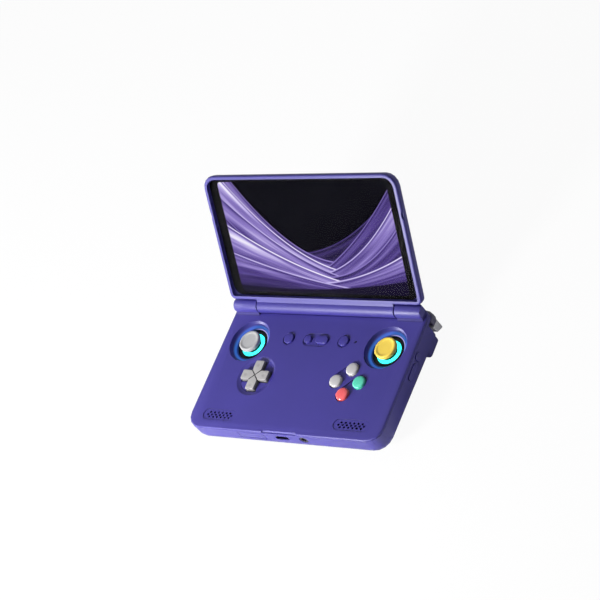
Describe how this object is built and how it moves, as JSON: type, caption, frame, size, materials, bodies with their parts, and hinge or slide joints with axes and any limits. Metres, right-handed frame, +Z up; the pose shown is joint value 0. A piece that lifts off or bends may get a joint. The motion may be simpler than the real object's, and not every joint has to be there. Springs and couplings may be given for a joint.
{
  "type": "clamshell handheld game console",
  "caption": "Clamshell handheld game console with hinged screen lid, two thumb sticks, d-pad, buttons, bumpers and triggers.",
  "frame": {"origin": "middle of the footprint, at the level of the rear feet's soles", "axes": "+X to the player's right, +Y from the front edge back to the hinge, +Z up out of the deck"},
  "size_m": [0.137, 0.1276, 0.0882],
  "materials": {
    "indigo_shell": "fine satin moulding",
    "indigo_button": "fine satin moulding",
    "cover_glass": "polished, black border",
    "display": null,
    "steel": "plain steel",
    "dark_screw": "blackened steel",
    "black_plastic": "plain moulded",
    "cyan_light": "lit light guide",
    "grey_cap": "matt soft plastic",
    "yellow_cap": "matt soft plastic",
    "dark_grey_plastic": "satin",
    "mid_grey_plastic": "satin",
    "light_grey_plastic": "satin",
    "green_button": "glossy",
    "red_button": "glossy",
    "status_lens": "clear lens",
    "jack_body": "satin",
    "board": "solder mask",
    "silicone": "soft silicone",
    "copper": "bare copper",
    "foot_rubber": "soft rubber"
  },
  "bodies": {
    "case": {"top_shell": "indigo_shell", "bottom_shell": "indigo_shell", "hinge_shaft_left": "steel", "hinge_shaft_right": "steel", "left_stick_housing": "black_plastic", "left_light_ring": "cyan_light", "left_bumper_pin": "steel", "left_trigger_pin": "steel", "left_speaker": "black_plastic", "right_stick_housing": "black_plastic", "right_light_ring": "cyan_light", "right_bumper_pin": "steel", "right_trigger_pin": "steel", "right_speaker": "black_plastic", "status_light": "status_lens", "usb_socket": "steel", "headphone_jack": "jack_body", "card_reader": "steel", "mainboard": "board", "button_pad": "silicone", "dpad_pad": "silicone", "battery": "black_plastic", "fan_housing": "black_plastic", "heat_sink": "copper", "foot_front_left": "foot_rubber", "foot_front_right": "foot_rubber", "foot_rear_left": "foot_rubber", "foot_rear_right": "foot_rubber", "screw_front_left": "dark_screw", "screw_front_right": "dark_screw", "screw_rear_left": "dark_screw", "screw_rear_right": "dark_screw"},
    "lid": {"lid_frame": "indigo_shell", "lid_back": "indigo_shell", "screen_glass": "cover_glass", "display_panel": "display"},
    "left_gimbal_ring": {"left_gimbal": "steel"},
    "left_stick": {"left_stick_shaft": "black_plastic"},
    "left_cap": {"left_stick_cap": "grey_cap"},
    "left_bumper_bar": {"left_bumper": "dark_grey_plastic"},
    "left_trigger_blade": {"left_trigger": "mid_grey_plastic"},
    "right_gimbal_ring": {"right_gimbal": "steel"},
    "right_stick": {"right_stick_shaft": "black_plastic"},
    "right_cap": {"right_stick_cap": "yellow_cap"},
    "right_bumper_bar": {"right_bumper": "dark_grey_plastic"},
    "right_trigger_blade": {"right_trigger": "mid_grey_plastic"},
    "dpad_pivot": {"dpad_ball": "steel"},
    "dpad_plate": {"dpad": "light_grey_plastic"},
    "button_up_key": {"button_up": "light_grey_plastic"},
    "button_left_key": {"button_left": "light_grey_plastic"},
    "button_right_key": {"button_right": "green_button"},
    "button_down_key": {"button_down": "red_button"},
    "menu_button_left_key": {"menu_button_left": "indigo_button"},
    "menu_button_right_key": {"menu_button_right": "indigo_button"},
    "menu_button_small_key": {"menu_button_small": "indigo_button"},
    "menu_button_pill_key": {"menu_button_pill": "indigo_button"},
    "power_button_key": {"power_button": "indigo_button"},
    "rocker": {"volume_rocker": "indigo_button"},
    "fan": {"fan_rotor": "black_plastic"},
    "door": {"card_door": "indigo_shell"}
  },
  "joints": [
    {"name": "lid_hinge", "type": "hinge", "parent": "case", "child": "lid", "pos_m": [0, 0.01672, 0.0207], "axis": [1, 0, 0], "range_deg": [-25.8, 124.2]},
    {"name": "left_stick_tilt_y", "type": "hinge", "parent": "case", "child": "left_gimbal_ring", "pos_m": [-0.0485, -0.00557, 0.0103], "axis": [1, 0, 0], "range_deg": [-12, 12], "stiffness_Nm_per_rad": 0.01},
    {"name": "left_stick_tilt_x", "type": "hinge", "parent": "left_gimbal_ring", "child": "left_stick", "pos_m": [-0.0485, -0.00557, 0.0103], "axis": [0, 1, 0], "range_deg": [-12, 12], "stiffness_Nm_per_rad": 0.01},
    {"name": "left_stick_click", "type": "slide", "parent": "left_stick", "child": "left_cap", "axis": [0, 0, -1], "range_m": [0, 0.0003], "stiffness_N_per_m": 500},
    {"name": "right_stick_tilt_y", "type": "hinge", "parent": "case", "child": "right_gimbal_ring", "pos_m": [0.0485, -0.00557, 0.0103], "axis": [1, 0, 0], "range_deg": [-12, 12], "stiffness_Nm_per_rad": 0.01},
    {"name": "right_stick_tilt_x", "type": "hinge", "parent": "right_gimbal_ring", "child": "right_stick", "pos_m": [0.0485, -0.00557, 0.0103], "axis": [0, 1, 0], "range_deg": [-12, 12], "stiffness_Nm_per_rad": 0.01},
    {"name": "right_stick_click", "type": "slide", "parent": "right_stick", "child": "right_cap", "axis": [0, 0, -1], "range_m": [0, 0.0003], "stiffness_N_per_m": 500},
    {"name": "dpad_rock_y", "type": "hinge", "parent": "case", "child": "dpad_pivot", "pos_m": [-0.03265, -0.02842, 0.0135], "axis": [1, 0, 0], "range_deg": [-3.5, 3.5], "stiffness_Nm_per_rad": 0.05},
    {"name": "dpad_rock_x", "type": "hinge", "parent": "dpad_pivot", "child": "dpad_plate", "pos_m": [-0.03265, -0.02842, 0.0135], "axis": [0, 1, 0], "range_deg": [-3.5, 3.5], "stiffness_Nm_per_rad": 0.05},
    {"name": "button_up_press", "type": "slide", "parent": "case", "child": "button_up_key", "axis": [0, 0, -1], "range_m": [0, 0.0012], "stiffness_N_per_m": 300},
    {"name": "button_left_press", "type": "slide", "parent": "case", "child": "button_left_key", "axis": [0, 0, -1], "range_m": [0, 0.0012], "stiffness_N_per_m": 300},
    {"name": "button_right_press", "type": "slide", "parent": "case", "child": "button_right_key", "axis": [0, 0, -1], "range_m": [0, 0.0012], "stiffness_N_per_m": 300},
    {"name": "button_down_press", "type": "slide", "parent": "case", "child": "button_down_key", "axis": [0, 0, -1], "range_m": [0, 0.0012], "stiffness_N_per_m": 300},
    {"name": "menu_button_left_press", "type": "slide", "parent": "case", "child": "menu_button_left_key", "axis": [0, 0, -1], "range_m": [0, 0.0004], "stiffness_N_per_m": 500},
    {"name": "menu_button_right_press", "type": "slide", "parent": "case", "child": "menu_button_right_key", "axis": [0, 0, -1], "range_m": [0, 0.0004], "stiffness_N_per_m": 500},
    {"name": "menu_button_small_press", "type": "slide", "parent": "case", "child": "menu_button_small_key", "axis": [0, 0, -1], "range_m": [0, 0.0004], "stiffness_N_per_m": 500},
    {"name": "menu_button_pill_press", "type": "slide", "parent": "case", "child": "menu_button_pill_key", "axis": [0, 0, -1], "range_m": [0, 0.0004], "stiffness_N_per_m": 500},
    {"name": "power_button_press", "type": "slide", "parent": "case", "child": "power_button_key", "axis": [-1, 0, 0], "range_m": [0, 0.0003], "stiffness_N_per_m": 800},
    {"name": "volume_rock", "type": "hinge", "parent": "case", "child": "rocker", "pos_m": [0.0662, -0.01687, 0.0125], "axis": [0, 0, 1], "range_deg": [-2, 2], "stiffness_Nm_per_rad": 0.05},
    {"name": "left_bumper_click", "type": "hinge", "parent": "case", "child": "left_bumper_bar", "pos_m": [-0.0406, 0.01932, 0.0141], "axis": [0, 0, 1], "range_deg": [0, 2], "stiffness_Nm_per_rad": 0.3},
    {"name": "left_trigger_pull", "type": "hinge", "parent": "case", "child": "left_trigger_blade", "pos_m": [-0.0557, 0.01482, 0.0121], "axis": [-1, 0, 0], "range_deg": [0, 16], "stiffness_Nm_per_rad": 0.03},
    {"name": "right_bumper_click", "type": "hinge", "parent": "case", "child": "right_bumper_bar", "pos_m": [0.0406, 0.01932, 0.0141], "axis": [0, 0, -1], "range_deg": [0, 2], "stiffness_Nm_per_rad": 0.3},
    {"name": "right_trigger_pull", "type": "hinge", "parent": "case", "child": "right_trigger_blade", "pos_m": [0.0557, 0.01482, 0.0121], "axis": [-1, 0, 0], "range_deg": [0, 16], "stiffness_Nm_per_rad": 0.03},
    {"name": "fan_spin", "type": "hinge", "parent": "case", "child": "fan", "pos_m": [0.021, -0.01027, 0.0061], "axis": [0, 0, 1], "continuous": true},
    {"name": "card_door_hinge", "type": "hinge", "parent": "case", "child": "door", "pos_m": [-0.0218, -0.06333, 0.01055], "axis": [1, 0, 0], "range_deg": [0, 95]}
  ]
}
